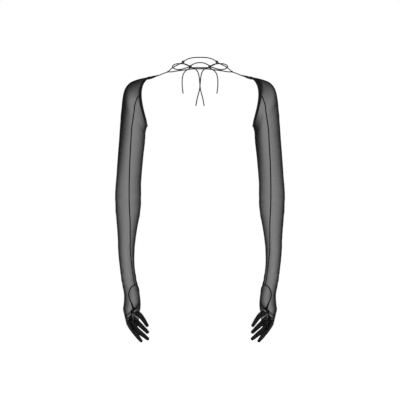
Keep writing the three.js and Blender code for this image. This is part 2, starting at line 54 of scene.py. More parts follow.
# Sleeve and hand, ring by ring from the armhole to the knuckles:
# outer edge (out, down), inner edge (out, down), half depth, middle, hollow, point, seam angle.
SLEEVE = np.array(
    [
        (13, 1.5, 25, 137, 50, 0, 22.5, 1, 80),
        (30, 3.4, 26, 141, 50, 0, 19, 0.75, 78),
        (53, 9, 27.5, 145, 49, 0, 14, 0.5, 86),
        (72.4, 17.3, 28.5, 149, 48, 0, 10, 0.3, 92),
        (87, 34.3, 29.5, 153, 48, 0, 6, 0.12, 96),
        (93.8, 57, 30.5, 159, 47, 0, 3, 0, 94),
        (97.7, 85, 31, 169, 46, 0, 0, 0, 89.5),
        (101, 125, 32, 185, 45, 0, 0, 0, 87),
        (105.4, 187, 35, 210, 43, 0, 0, 0, 89),
        (109, 234, 38.5, 245, 42, 0, 0, 0, 91),
        (113, 290, 42.5, 293, 41, 1, 0, 0, 95),
        (116, 332, 43, 332, 40, 2, 0, 0, 97),
        (114.3, 376, 44.5, 376, 39, 1, 0, 0, 99),
        (110.7, 420, 52.7, 420, 36, -1, 0, 0, 109),
        (108, 456, 58, 456, 34, -3, 0, 0, 116),
        (107.2, 486, 60.9, 486, 32, -5, 0, 0, 121),
        (102.8, 531, 60.8, 531, 29, -8, 0, 0, 131),
        (99.1, 560, 56.6, 560, 27.5, -11, 0, 0, 131),
        (95, 585, 51.4, 585, 31, -13, 0, 0, 130),
        (90.2, 610, 44.6, 610, 36, -15, 0, 0, 130),
        (91, 635, 46, 633, 39, -17, 0, 0, 130),
        (92.8, 650, 55, 648, 40.5, -18, 0, 0, 130),
        (89.6, 666, 62, 656.5, 40.3, -18, 0, 0, 130),
        (85.2, 681, 67, 665, 40, -18, 0, 0, 130),
    ],
    float,
)
WRIST = 17  # number of the ring at the wrist
WRIST_DOWN = 560
HAND_DOWNS = [0, 25, 50, 75, 90, 104, 120]
FOREARM_SPLIT = 14.0  # where the elbow's and the wrist's stretches of sleeve meet
PALM_SPLIT = 17.66
KNUCKLES = 23.0
KNUCKLE_SLOPE = 0.3
SHOULDER_SKEW = 0.7
POINT_GAIN = 1.3

# The hole that the thumb's own panel is sewn into: angle round the hand, and mm below the wrist.
THUMB_HOLE = np.array(
    [
        (130, 22.6),
        (91, 31.5),
        (68, 48),
        (76, 62),
        (97, 76),
        (122, 86),
        (150, 88),
        (184, 83),
        (208, 70),
        (214, 53),
        (200, 39),
        (176, 29),
    ],
    float,
)
# The rim of that hole is walked in even points, and the thumb's seam follows a run of them.
RIM_POINTS = 120
THUMB_SEAM_START = 84
THUMB_SEAM_POINTS = 96
# Thumb: out, forward of the arm, mm below the wrist, radius.
THUMB_LINE = [
    (54.4, -67.6, 88, 11.2),
    (54.5, -69.5, 102, 8.9),
    (54.1, -71, 116, 7.5),
    (53.7, -72, 127, 6.3),
    (53.5, -72.4, 132.5, 4.5),
]
# Fingers: forward of the arm, its share of the knuckle ring, line (out, mm below the wrist), radii.
FINGERS = {
    "index": (
        -46,
        (-60, -36),
        [(75.2, 128), (70.3, 138), (62.8, 149.5), (51.5, 165), (41.3, 177.8)],
        [8, 7.3, 6.7, 6, 4.6],
    ),
    "middle": (
        -26,
        (-36, -16),
        [(73.5, 120.5), (65, 134), (53.7, 148), (40.8, 159.2), (23.6, 173.2)],
        [8.4, 7.7, 7.1, 6.6, 5],
    ),
    "ring": (
        -6,
        (-16, 3.5),
        [(71.8, 112), (61.5, 120), (50.4, 130.8), (39.8, 141.2), (24.8, 155.8)],
        [8, 7.3, 6.8, 6.4, 5],
    ),
    "little": (
        13,
        (3.5, 24),
        [(69.4, 102), (58.5, 103.5), (47.2, 109), (37.6, 121), (26.2, 138.6)],
        [7.3, 7.2, 7.2, 6.4, 4.8],
    ),
}
HIDDEN_ROOTS = ("ring", "little")  # fingers whose roots lie behind the others

# From a finger's mouth, outwards and upwards in metres: the start and the end spot handed on with each
# finger.
BEND_START = (-0.0007, -0.0007)
BEND_END = (-0.0145, -0.0155)

# Neck cords, left side, in mm from the nape.
TIE_KNOT = (26.7, -72, -32.8)
SIDE_KNOT = (47, 2, -14.2)
FORK = (90.1, 3.5, -42)
NAPE = [SIDE_KNOT, (45.2, 20, -10.9), (39.8, 36, -6.8), (31.3, 49.5, -1.8), (17.2, 59, 1.8), (0, 62, 2.6)]
SHOULDER = [
    SIDE_KNOT,
    (54, 3, -18.4),
    (61.6, 4, -22.1),
    (70.1, 4.5, -26.5),
    (77.7, 4.5, -31.3),
    (84.1, 4, -36.9),
    FORK,
    (97, 2.5, -44.8),
    (104.5, 1.5, -47.7),
    (113, 0.5, -51.2),
    (123, 0, -55),
    (130, 0, -57),
]
THROAT = [
    SIDE_KNOT,
    (46.9, -14, -16.5),
    (45.8, -30, -19.6),
    (43.3, -46, -22.9),
    (39.6, -57, -26.2),
    (32.6, -66, -29.6),
    TIE_KNOT,
]
FRONT = [
    FORK,
    (81.9, -10, -43.2),
    (73.7, -20, -42.9),
    (59.6, -37, -41.7),
    (44.6, -51, -40.7),
    (32.6, -61, -39.7),
    (22.1, -69, -38.9),
    (10.9, -72.4, -38.7),
    (0, -73, -38.8),
]
CENTRE_LOOP = [TIE_KNOT, (23.7, -72.6, -28.5), (18.8, -73, -26), (10.4, -73.6, -22.8), (0, -74, -21.6)]
CENTRE_BAR = [TIE_KNOT, (21.7, -73, -35.2), (10.9, -73, -35.4), (0, -73, -35.4)]
BOW = [
    (28.1, -73.2, -31.5),
    (30.6, -74.6, -30),
    (36.5, -75.4, -27.3),
    (43.4, -75.6, -25.3),
    (51.9, -74.4, -24.7),
    (64.2, -70, -24.6),
    (73.1, -66, -27.7),
    (76.3, -64.4, -32.7),
    (71.3, -66, -37.7),
    (60.8, -70, -40.6),
    (50, -73.6, -39.6),
    (40.4, -75.4, -36.8),
    (32, -75, -34.8),
    (28.8, -73.6, -33.9),
]
OUTER_TAIL = [
    (27.4, -72.8, -34.6),
    (28.4, -73.4, -37),
    (31.1, -75.6, -39),
    (35.5, -78, -41.7),
    (40.4, -78.6, -45.5),
    (44.9, -78.6, -51.5),
    (47.6, -78.4, -59.4),
    (48.9, -78.2, -68),
    (49.3, -78, -76.6),
    (49.1, -78, -85.7),
    (48.3, -78, -94.3),
    (47.5, -78, -101.6),
    (46.1, -78, -107.7),
]
INNER_TAIL = [
    (26.1, -74, -34.3),
    (25.1, -75.4, -35.6),
    (20.7, None, -36.2),
    (15.2, None, -38.1),
    (10.4, None, -41.7),
    (6.7, None, -46.5),
    (4.1, None, -52.9),
    (2.4, None, -60.8),
    (1.3, None, -70.7),
    (0.3, None, -82.5),
    (-1, None, -94.3),
    (-3.9, None, -106.6),
    (-7.7, None, -121),
    (-11.6, None, -142),
]
INNER_TAIL_Y = {"left": -79.4, "right": -76.4}  # the left one crosses in front


# Shapes


def smooth(table, place):
    """Values between the rows of a table, on a smooth curve through them. Place counts rows from 0."""
    table = np.asarray(table, float)
    last = len(table) - 1
    place = np.clip(np.asarray(place, float), 0, last)
    row = np.minimum(place.astype(int), last - 1)
    f = (place - row).reshape(place.shape + (1,) * (table.ndim - 1))
    here, following = table[row], table[row + 1]
    before = np.where((row > 0).reshape(f.shape), table[np.maximum(row - 1, 0)], 2 * here - following)
    beyond = table[np.minimum(row + 2, last)]
    after = np.where((row < last - 1).reshape(f.shape), beyond, 2 * following - here)
    return 0.5 * (
        2 * here
        + (following - before) * f
        + (2 * before - 5 * here + 4 * following - after) * f**2
        + (3 * here - before - 3 * following + after) * f**3
    )


def sleeve_shape(place, degrees):
    """Points of the sleeve and hand in mm, at a place in the rings and an angle round the arm."""
    ring = smooth(SLEEVE, place)
    outer_x, outer_down, inner_x, inner_down, depth, middle, hollow, point = ring[..., :8].T
    a = np.radians(degrees)
    out, front = np.cos(a), np.sin(a)
    narrow = 1 + (POINT_GAIN * np.abs(np.sin(a / 2)) - 1) * np.clip(point, 0, 1)
    wing = 1.1 * front**2 / (np.abs(front) + 0.1)
    x = (outer_x + inner_x) / 2 + (outer_x - inner_x) / 2 * out
    x = x + np.maximum(hollow, 0) * wing * (1 + SHOULDER_SKEW * out)
    y = middle - depth * front * narrow
    z = -(outer_down + inner_down) / 2 - (outer_down - inner_down) / 2 * out
    z = z + KNUCKLE_SLOPE * (y - middle) * np.clip((place - (KNUCKLES - 1.5)) / 1.5, 0, 1) ** 1.5
    return np.stack([HALF_SPAN + x, y, z - TIP_DROP], axis=-1)


def sleeve_normal(place, degrees):
    step = 0.02
    along = sleeve_shape(place + step, degrees) - sleeve_shape(place - step, degrees)
    around = sleeve_shape(place, degrees + 1) - sleeve_shape(place, degrees - 1)
    n = np.cross(along, around)
    n = n / np.maximum(np.linalg.norm(n, axis=-1, keepdims=True), 1e-9)
    centre = (sleeve_shape(place, degrees * 0) + sleeve_shape(place, degrees * 0 + 180)) / 2
    facing = np.sign(np.sum(n * (sleeve_shape(place, degrees) - centre), axis=-1, keepdims=True))
    return n * np.where(facing == 0, 1, facing)


def ripple(place, degrees):
    """Small unevenness of stretched cloth in mm: drag lines at the elbow, the wrist and the underarm."""
    a = np.radians(degrees)
    gather = np.exp(-(((place - 11.6) / 1.3) ** 2)) + 0.9 * np.exp(-(((place - 17) / 1.2) ** 2))
    gather = gather + 0.5 * np.exp(-(((place - 6) / 1.5) ** 2)) + 0.25
    wave = np.sin(5.3 * place + 2 * a + 0.6) * np.sin(3 * a + 1.7 * place)
    wave = wave + 0.6 * np.sin(11.7 * place - 3 * a + 1.9) * np.cos(2 * a - 2.3 * place)
    fade = np.clip(place / 1.5, 0, 1) * np.clip((KNUCKLES - place) / 1.5, 0, 1)
    return 0.38 * gather * wave * fade


def sleeve_cloth(place, degrees):
    lift = ripple(place, degrees)[..., None]
    return sleeve_shape(place, degrees) + lift * sleeve_normal(place, degrees)


def on_hand(degrees, down):
    """A place on the hand's cloth, from an angle and a distance below the wrist."""
    place = WRIST + np.interp(down, HAND_DOWNS, range(len(HAND_DOWNS)))
    return place, degrees


# Making pieces


def in_edit_mode(piece, *steps):
    bpy.ops.object.select_all(action="DESELECT")
    piece.select_set(True)
    bpy.context.view_layer.objects.active = piece
    bpy.ops.object.mode_set(mode="EDIT")
    for step in steps:
        step()
    bpy.ops.object.mode_set(mode="OBJECT")


def select_all():
    bpy.ops.mesh.select_all(action="SELECT")


def sew_doubles():
    bpy.ops.mesh.remove_doubles(threshold=2e-6)


def shade_smooth(piece):
    bpy.ops.object.select_all(action="DESELECT")
    piece.select_set(True)
    bpy.context.view_layer.objects.active = piece
    bpy.ops.object.shade_smooth()


def cloth(name, side, columns, rows, size, shape, density_and_shade=None, sealed=False):
    """A flat piece of cloth of a size in mm, laid to shape and sewn to itself where its edges meet.
    shape(across, along) gives points in mm for the left glove, from two numbers from 0 to 1."""
    bpy.ops.object.select_all(action="DESELECT")
    bpy.ops.mesh.primitive_grid_add(x_subdivisions=columns, y_subdivisions=rows, size=1, calc_uvs=True)
    piece = bpy.context.object
    piece.name = name
    mesh = piece.data
    mesh.name = name
    flat = np.zeros(len(mesh.vertices) * 3)
    mesh.vertices.foreach_get("co", flat)
    flat = flat.reshape(-1, 3)
    across, along = flat[:, 0] + 0.5, flat[:, 1] + 0.5
    mirror = side == "right"
    points = shape(1 - across if mirror else across, along) * MM
    if mirror:
        points[:, 0] *= -1
    mesh.vertices.foreach_set("co", points.ravel())
    thread = np.zeros(len(mesh.loops) * 2)
    weave = mesh.uv_layers.active.data
    weave.foreach_get("uv", thread)
    thread = (thread.reshape(-1, 2) * np.array(size) * MM).ravel()
    weave.foreach_set("uv", thread)
    # the net's closeness per point, which also holds painted shade
    if density_and_shade is not None:
        layer = mesh.attributes.new("closeness_and_shade", "FLOAT", "POINT")
        layer.data.foreach_set("value", density_and_shade(across, along).astype(np.float32))
    steps = [select_all, sew_doubles]
    if sealed:
        steps.append(lambda: bpy.ops.mesh.normals_make_consistent(inside=False))
    in_edit_mode(piece, *steps)
    shade_smooth(piece)
    return piece


def even_path(points, step, closed=False):
    """Points a step apart on a smooth curve through the given ones."""
    points = np.asarray(points, float)
    if closed:
        points = np.vstack([points[-1:], points, points[:2]])
        fine = smooth(points, np.linspace(1, len(points) - 2, 24 * len(points)))
    else:
        fine = smooth(points, np.linspace(0, len(points) - 1, 24 * len(points)))
    run = np.concatenate([[0], np.cumsum(np.linalg.norm(np.diff(fine, axis=0), axis=1))])
    count = max(3, int(round(run[-1] / step)) + 1)
    wanted = np.linspace(0, run[-1], count)
    return np.stack([np.interp(wanted, run, fine[:, i]) for i in range(3)], axis=1)


def frames_along(points, ups=None, closed=False):
    """The upward and the sideways vector at each point of a path."""
    if closed:
        ahead = np.vstack([points[1:], points[1:2]]) - np.vstack([points[-2:-1], points[:-1]])
    else:
        ahead = np.gradient(points, axis=0)
    ahead = ahead / np.linalg.norm(ahead, axis=1, keepdims=True)
    if ups is None:
        ups = np.zeros_like(points)
        up = np.cross(ahead[0], (0.3, 0.2, 0.93))
        for i, direction in enumerate(ahead):
            up = up - direction * np.dot(up, direction)
            up = up / np.linalg.norm(up)
            ups[i] = up
    else:
        ups = ups - ahead * np.sum(ups * ahead, axis=1, keepdims=True)
        ups = ups / np.maximum(np.linalg.norm(ups, axis=1, keepdims=True), 1e-9)
    return ups, np.cross(ahead, ups)


def strand(
    name,
    side,
    points,
    width,
    thickness=None,
    ups=None,
    sides=10,
    closed=False,
    ridge=(0, 1),
    square=1.0,
    taper=None,
):
    """A cord, seam or band along a path in mm. ridge is (height as a share, pitch in mm) of its stitches,
    and taper holds its width at even steps along it, as shares."""
    thickness = thickness or width
    points = np.asarray(points, float)
    up, sideways = frames_along(points, ups, closed)
    run = np.concatenate([[0], np.cumsum(np.linalg.norm(np.diff(points, axis=0), axis=1))])
    length = run[-1]

    def shape(across, along):
        at = along * length
        pick = lambda field: np.stack([np.interp(at, run, field[:, i]) for i in range(3)], axis=1)
        a = across * 2 * math.pi
        bump = 1 + ridge[0] * np.sin(2 * math.pi * at / ridge[1])
        if taper:
            bump = bump * np.interp(along, np.linspace(0, 1, len(taper)), taper)
        if not closed:
            end = np.minimum(at, length - at) / (thickness / 2)
            bump = bump * np.sqrt(np.clip(1 - (1 - np.clip(end, 0, 1)) ** 2, 0, 1))
        c = np.sign(np.cos(a)) * np.abs(np.cos(a)) ** square
        s = np.sign(np.sin(a)) * np.abs(np.sin(a)) ** square
        return (
            pick(points)
            + pick(sideways) * (c * bump * width / 2)[:, None]
            + pick(up) * (s * bump * thickness / 2)[:, None]
        )

    pitch = ridge[1] / 4 if ridge[0] else max(0.6, thickness / 4)
    rows = max(8, int(length / pitch))
    return cloth(name, side, sides, rows, (2 * width + 2 * thickness, length), shape, sealed=True)


# Finishes


def finish_nodes(name):
    material = bpy.data.materials.new(name)
    material.use_nodes = True
    nodes, links = material.node_tree.nodes, material.node_tree.links
    shader = nodes["Principled BSDF"]
    return material, nodes, links, shader


def number(nodes, links, operation, first, second=None):
    node = nodes.new("ShaderNodeMath")
    node.operation = operation
    for slot, value in enumerate((first, second)):
        if value is None:
            continue
        if isinstance(value, (int, float)):
            node.inputs[slot].default_value = value
        else:
            links.new(value, node.inputs[slot])
    return node.outputs[0]


def weave_of(nodes, links, across_pitch, along_pitch, slant=0.0):
    """Two threads crossing, from -1 to 1, on the cloth's own UV map in metres."""
    uv = nodes.new("ShaderNodeUVMap")
    parts = nodes.new("ShaderNodeSeparateXYZ")
    links.new(uv.outputs["UV"], parts.inputs[0])
    across = number(nodes, links, "MULTIPLY", parts.outputs[0], 2 * math.pi / across_pitch)
    along = number(nodes, links, "MULTIPLY", parts.outputs[1], 2 * math.pi / along_pitch)
    if slant:
        leaned = number(nodes, links, "MULTIPLY", across, slant)
        along = number(nodes, links, "ADD", along, leaned)
    first = number(nodes, links, "SINE", across)
    second = number(nodes, links, "SINE", along)
    return first, second, number(nodes, links, "MULTIPLY", first, second)


def stretch_net():
    """Black stretch net: see-through face on, closing up as it turns away, where it is less stretched, and
    where painted shade is laid into it.
    """
    material, nodes, links, shader = finish_nodes("black_stretch_net")
    shader.inputs["Base Color"].default_value = (0.004, 0.004, 0.0042, 1)
    shader.inputs["Roughness"].default_value = 0.85
    shader.inputs["Specular IOR Level"].default_value = 0.03
    turned = nodes.new("ShaderNodeLayerWeight")
    turned.inputs["Blend"].default_value = 0.5
    facing = number(nodes, links, "SUBTRACT", 1.0, turned.outputs["Facing"])
    facing = number(nodes, links, "MAXIMUM", facing, 0.06)
    # the net's closeness, which also holds painted shade
    density_and_shade = nodes.new("ShaderNodeAttribute")
    density_and_shade.attribute_name = "closeness_and_shade"
    closeness_and_shade = number(nodes, links, "MULTIPLY", density_and_shade.outputs["Fac"], -0.85)
    closeness_and_shade = number(nodes, links, "ADD", closeness_and_shade, -0.80)
    _, _, net = weave_of(nodes, links, 0.0011, 0.0011)
    net = number(nodes, links, "MULTIPLY", net, 0.35)
    net = number(nodes, links, "ADD", net, 1.0)
    thickness = number(nodes, links, "MULTIPLY", closeness_and_shade, net)
    seen = number(nodes, links, "DIVIDE", thickness, facing)
    passed = number(nodes, links, "EXPONENT", seen)
    links.new(number(nodes, links, "SUBTRACT", 1.0, passed), shader.inputs["Alpha"])
    return material


def black_yarn(name, colour, roughness, across_pitch, along_pitch, slant, height, gloss):
    """A closed black surface of thread, elastic or cord, with its own pattern raised on it."""
    material, nodes, links, shader = finish_nodes(name)
    shader.inputs["Base Color"].default_value = (*colour, 1)
    shader.inputs["Roughness"].default_value = roughness
    shader.inputs["Specular IOR Level"].default_value = gloss
    _, _, pattern = weave_of(nodes, links, across_pitch, along_pitch, slant)
    raised = nodes.new("ShaderNodeBump")
    raised.inputs["Strength"].default_value = 0.6
    raised.inputs["Distance"].default_value = height
    links.new(pattern, raised.inputs["Height"])
    links.new(raised.outputs["Normal"], shader.inputs["Normal"])
    return material


NET = stretch_net()
THREAD = black_yarn("overlock_thread", (0.003, 0.003, 0.003), 0.7, 0.0012, 0.0009, 0.5, 0.0002, 0.04)
ELASTIC = black_yarn("satin_elastic", (0.003, 0.003, 0.0032), 0.45, 0.0012, 0.0008, 0, 0.00015, 0.08)
CORD_FINISH = black_yarn("braided_cord", (0.004, 0.004, 0.004), 0.45, 0.0024, 0.0016, 1.0, 0.0002, 0.08)

FINISH_SLOT = {
    "sheer_mesh": NET,
    "finger_mesh": NET,
    "seam_thread": THREAD,
    "elastic_binding": ELASTIC,
    "neck_cord": CORD_FINISH,
}


def place_piece(piece, slot, bodies, start=None, end=None, stands_for=()):
    """Gives a piece its finish, hangs it from its body's empty when it has a single body, else bakes its
    place into its mesh, and hides the CAD nodes it stands for.
    """
    piece.data.materials.append(FINISH_SLOT[slot])
    if isinstance(bodies, str):
        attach(piece, bodies)
    else:
        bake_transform(piece)
    if stands_for:
        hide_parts(*stands_for)
    return piece


# One glove


def sleeve_rows(first, last, per_ring):
    return int(round((last - first) * per_ring))


def stretch_of_sleeve(name, side, first, last, columns, per_ring, size, density_and_shade=None):
    def shape(across, along):
        place = first + (last - first) * along
        seam = smooth(SLEEVE[:, 8:9], place)[:, 0]
        return sleeve_cloth(place, seam + 360 * across)

    return cloth(name, side, columns, sleeve_rows(first, last, per_ring), size, shape, density_and_shade)


def shoulder_bunching_and_shade(across, along):
    """The cloth bunches in the shoulder's point; over the top of the shoulder and along the underarm the net
    is made denser as painted shade.
    """
    place = FOREARM_SPLIT * along
    point = 3.2 * np.clip((1.5 - place) / 1.5, 0, 1)
    a = np.radians(360 * across + 85)
    # painted shade: the net made denser over the top of the shoulder, where the sleeve turns away
    top_painted_shade = 0.5 * np.clip(np.cos(a), 0, 1) * np.clip((4.2 - place) / 2.5, 0, 1)
    # painted shade: the net made denser along the underarm
    underarm_painted_shade = 1.7 * np.clip(-np.cos(a) - 0.35, 0, 1) * np.clip((10 - place) / 4, 0, 1)
    return point * np.clip(np.cos(a) + 0.35, 0, 1) + top_painted_shade + underarm_painted_shade


def thumb_hole():
    spots = np.vstack([THUMB_HOLE[-1:], THUMB_HOLE, THUMB_HOLE[:2]])
    return smooth(spots, np.linspace(1, len(THUMB_HOLE) + 1, RIM_POINTS + 1))


def inside(polygon, x, y):
    hit = np.zeros(len(x), bool)
    for (x0, y0), (x1, y1) in zip(polygon[:-1], polygon[1:]):
        crosses = (y0 > y) != (y1 > y)
        with np.errstate(divide="ignore", invalid="ignore"):
            hit ^= crosses & (x < (x1 - x0) * (y - y0) / (y1 - y0) + x0)
    return hit


def palm(side):
    """The hand from below the wrist to the knuckles, with a hole for the thumb's panel."""
    first, last = PALM_SPLIT, KNUCKLES
    rows, columns = 76, 120
    down_of = lambda place: np.interp(place - WRIST, range(len(HAND_DOWNS)), HAND_DOWNS)
    edge = thumb_hole()
    rim = sleeve_cloth(*on_hand(edge[:, 0], edge[:, 1]))
    spots = {}

    def shape(across, along):
        place = first + (last - first) * along
        seam = smooth(SLEEVE[:, 8:9], place)[:, 0]
        turn = seam + 360 * across
        angle = (turn - 320) % 360 - 40
        spots["cut"] = inside(edge, angle, down_of(place))
        points = sleeve_cloth(place, turn)
        cut = np.flatnonzero(spots["cut"])
        away = np.linalg.norm(points[cut][:, None] - rim[None], axis=2)
        points[cut] = rim[away.argmin(axis=1)]
        return points

    def density_and_shade(across, along):
        """Painted shade: the net is made much denser in the gap between the thumb and the forefinger, where
        the wedge lies in shadow. The cloth gathers a little over the knuckles.
        """
        place = first + (last - first) * along
        seam = smooth(SLEEVE[:, 8:9], place)[:, 0]
        turn = seam + 360 * (1 - across if side == "right" else across)
        angle = (turn - 320) % 360 - 40
        below = np.clip((down_of(place) - 87) / 5, 0, 1)
        edge_angle = 130 - 0.5 * (down_of(place) - 88)
        # painted shade in the gap between the thumb and the forefinger
        denser_patch = np.clip((angle - edge_angle) / 10, 0, 1) * np.clip((190 - angle) / 20, 0, 1)
        knuckles = np.clip((down_of(place) - 103) / 9, 0, 1) * np.clip((110 - angle) / 20, 0, 1)
        return 2.6 * below * denser_patch + 0.5 * knuckles

    piece = cloth(side + "_palm", side, columns, rows, (150, 75), shape, density_and_shade)
    return piece, edge, rim


def open_thumb_hole(piece, side, edge):
    """Takes out the cloth whose corners all lie on the rim of the thumb's hole."""
    rim = sleeve_cloth(*on_hand(edge[:, 0], edge[:, 1])) * MM
    if side == "right":
        rim[:, 0] *= -1
    mesh = piece.data
    at = np.zeros(len(mesh.vertices) * 3)
    mesh.vertices.foreach_get("co", at)
    at = at.reshape(-1, 3)
    near = np.array([np.min(np.linalg.norm(rim - p, axis=1)) < 2e-6 for p in at])
    bpy.ops.object.select_all(action="DESELECT")
    piece.select_set(True)
    bpy.context.view_layer.objects.active = piece
    bpy.ops.object.mode_set(mode="EDIT")
    bpy.ops.mesh.select_mode(type="FACE")
    bpy.ops.mesh.select_all(action="DESELECT")
    bpy.ops.object.mode_set(mode="OBJECT")
    for face in mesh.polygons:
        face.select = all(near[v] for v in face.vertices)
    bpy.ops.object.mode_set(mode="EDIT")
    bpy.ops.mesh.delete(type="FACE")
    bpy.ops.mesh.select_mode(type="VERT")
    bpy.ops.object.mode_set(mode="OBJECT")


def round_section(centre, along, radius, degrees):
    """A round section of a finger or thumb. 0 degrees is its back and 90 its front."""
    a = np.radians(degrees)
    along = along / np.linalg.norm(along)
    front = np.array([0.0, -1.0, 0.0])
    front = front - along * np.dot(front, along)
    front = front / np.linalg.norm(front)
    back = np.cross(along, front)
    if back[0] < 0:
        back = -back
    return centre + radius * (np.cos(a)[:, None] * back + np.sin(a)[:, None] * front)


def hand_spot(out, forward, down):
    return np.array([HALF_SPAN + out, forward, -TIP_DROP - WRIST_DOWN - down], float)


def with_round_tip(sections, centre, along, radius, degrees):
    """Adds a rounded, closed end to the sections of a sheath."""
    along = along / np.linalg.norm(along)
    for share in (0.35, 0.62, 0.8):
        reach = centre + along * radius * share
        narrowed = radius * math.sqrt(max(0, 1 - (share / 0.86) ** 2))
        sections.append(round_section(reach, along, narrowed, degrees))
    sections.append(np.repeat((centre + along * radius * 0.86)[None], len(degrees), axis=0))
    return sections


def sheath_shape(sections):
    """The shape function of a tube through sections that have the same number of points."""
    stack = np.array(sections)
    count = stack.shape[1] - 1

    def shape(across, along):
        rings = smooth(stack, along * (len(stack) - 1))
        spot = np.clip(np.round(across * count).astype(int), 0, count)
        return rings[np.arange(len(across)), spot]

    return shape


def thumb(side, edge, rim):
    """The thumb's own panel: sewn into the hole, drawn in to the thumb and closed at its tip."""
    turn = np.linspace(0, 360, len(rim))
    lines = [hand_spot(*spot[:3]) for spot in THUMB_LINE]
    ways = np.gradient(np.array(lines), axis=0)
    ways[0] = (0, -0.55, -0.84)
    root = round_section(lines[0], ways[0], THUMB_LINE[0][3], 90 - turn)
    swell = lines[0] - rim.mean(axis=0)
    swell[2] = 0
    swell = swell / np.linalg.norm(swell)
    palm_side = np.clip((edge[:, :1] - 120) / 60, 0, 1) * np.array([-1.0, 0.0, 0.0])
    sections = [rim]
    for share, bulge, ball in ((0.12, 1.6, 0.8), (0.3, 2.8, 1.6), (0.52, 3.2, 2), (0.76, 2.2, 1.4)):
        sections.append(rim * (1 - share) + root * share + swell * bulge + palm_side * ball)
    sections.append(root)
    for centre, way, spot in zip(lines[1:], ways[1:], THUMB_LINE[1:]):
        sections.append(round_section(centre, way, spot[3], 90 - turn))
    with_round_tip(sections, lines[-1], ways[-1], THUMB_LINE[-1][3], 90 - turn)

    def density_and_shade(across, along):
        return np.clip((along * (len(sections) - 1) - 7) / 2, 0, 1)

    rows = 6 * (len(sections) - 1)
    return cloth(side + "_thumb_panel", side, len(rim) - 1, rows, (90, 130), sheath_shape(sections), density_and_shade)


def knuckle_cell(low, high, forward, degrees):
    """A finger's share of the knuckle ring: cut off at the webs, and else the ring itself."""
    outer_x, outer_down, inner_x, inner_down, depth, middle = SLEEVE[-1, :6]
    centre_x, half = (outer_x + inner_x) / 2, (outer_x - inner_x) / 2
    a = np.radians(degrees)
    dx, dy = np.cos(a), -np.sin(a)
    start = (forward - middle) / depth
    qa = (dx / half) ** 2 + (dy / depth) ** 2
    qb = 2 * start * dy / depth
    qc = start**2 - 1
    reach = (-qb + np.sqrt(qb**2 - 4 * qa * qc)) / (2 * qa)
    with np.errstate(divide="ignore"):
        for bound in (low, high):
            gap = bound - forward
            to_web = np.where(dy * gap > 1e-9, gap / np.where(dy == 0, 1, dy), np.inf)
            reach = np.minimum(reach, to_web)
    y = forward + reach * dy
    z = -TIP_DROP - (outer_down + inner_down) / 2 - (outer_down - inner_down) / 2 * reach * dx / half
    z = z + KNUCKLE_SLOPE * (y - middle)
    return np.stack([HALF_SPAN + centre_x + reach * dx, y, z], axis=1)


def corner_angles(low, high, forward, count):
    """Angles round a finger that meet the corners of its cell exactly."""
    outer_x, _, inner_x, _, depth, middle = SLEEVE[-1, :6]
    half = (outer_x - inner_x) / 2
    corners = []
    for bound in (low, high):
        share = (bound - middle) / depth
        if abs(share) < 1:
            x = half * math.sqrt(1 - share**2)
            for sign in (1, -1):
                corners.append(math.degrees(math.atan2(-(bound - forward), sign * x)) % 360)
    corners = sorted(corners)
    corners.append(corners[0] + 360)
    angles = []
    for first, last in zip(corners[:-1], corners[1:]):
        pieces = max(3, int(round(count * (last - first) / 360)))
        angles.extend(np.linspace(first, last, pieces, endpoint=False))
    return np.array(angles + [corners[-1]])


def finger_sections(name):
    forward, (low, high), line, radii = FINGERS[name]
    turn = corner_angles(low, high, forward, 48)
    mouth = knuckle_cell(low, high, forward, turn)
    lines = [mouth.mean(axis=0)] + [hand_spot(out, forward, down) for out, down in line]
    ways = np.gradient(np.array(lines), axis=0)
    sections = [mouth + (0.4, 0, 0.5), mouth]
    first = round_section(lines[1], ways[1], radii[0], turn)
    for share in (0.3, 0.65):
        sections.append(mouth * (1 - share) + first * share)
    for centre, way, radius in zip(lines[1:], ways[1:], radii):
        sections.append(round_section(centre, way, radius, turn))
    with_round_tip(sections, lines[-1], ways[-1], radii[-1], turn)
    return sections, turn


def finger(side, name):
    sections, turn = finger_sections(name)
    clear_until = 0.36 if name in HIDDEN_ROOTS else 0.16
    gather = 0 if name in HIDDEN_ROOTS else 2.2

    def density_and_shade(across, along):
        """Most stretched over the back of the knuckle, gathered inside it, and closest at the tip."""
        share = 1 - across if side == "right" else across
        around = np.radians(np.interp(share, np.linspace(0, 1, len(turn)), turn))
        denser_patch = np.clip(0.1 - np.cos(around), 0, 1) * np.clip((0.34 - along) / 0.12, 0, 1)
        return 1.15 * np.clip((along - clear_until) / 0.16, 0, 1) + 0.45 * along + gather * denser_patch

    rows = 6 * (len(sections) - 1)
    piece = cloth(
        f"{side}_{name}_sheath", side, len(turn) - 1, rows, (48, 95), sheath_shape(sections), density_and_shade
    )
    return piece, sections, turn


def finger_seam(side, name, sections, turn):
    """The sewn edge along both sides of a finger and over its tip."""
    stack = np.array(sections)
    places = np.linspace(2.6, len(stack) - 1, 90)
    rings = smooth(stack, places)
    centres = rings.mean(axis=1)
    early = np.clip(places / 4, 0, 1)
    start = 150 if name == "index" else 100
    runs = []
    for front in (True, False):
        wanted = start + (90 - start) * early if front else np.full(len(places), 270.0)
        points = []
        for ring, degrees in zip(rings, wanted):
            angles = turn[:-1] % 360
            nearest = np.argsort(np.abs((angles - degrees + 180) % 360 - 180))[:2]
            gaps = np.abs((angles[nearest] - degrees + 180) % 360 - 180)
            share = gaps[0] / max(gaps.sum(), 1e-9)
            points.append(ring[nearest[0]] * (1 - share) + ring[nearest[1]] * share)
        runs.append(np.array(points))
    there, back = runs[0], runs[1][::-1]
    points = np.vstack([there[:-2], back[2:]])
    ups = points - np.vstack([centres[:-2], centres[::-1][2:]])
    path = even_path(points, 0.8)
    picked = np.linspace(0, len(ups) - 1, len(path))
    ups = np.stack([np.interp(picked, range(len(ups)), ups[:, i]) for i in range(3)], axis=1)
    return strand(f"{side}_{name}_seam", side, path, 1.5, 0.9, ups, 8, ridge=(0.12, 1.4))


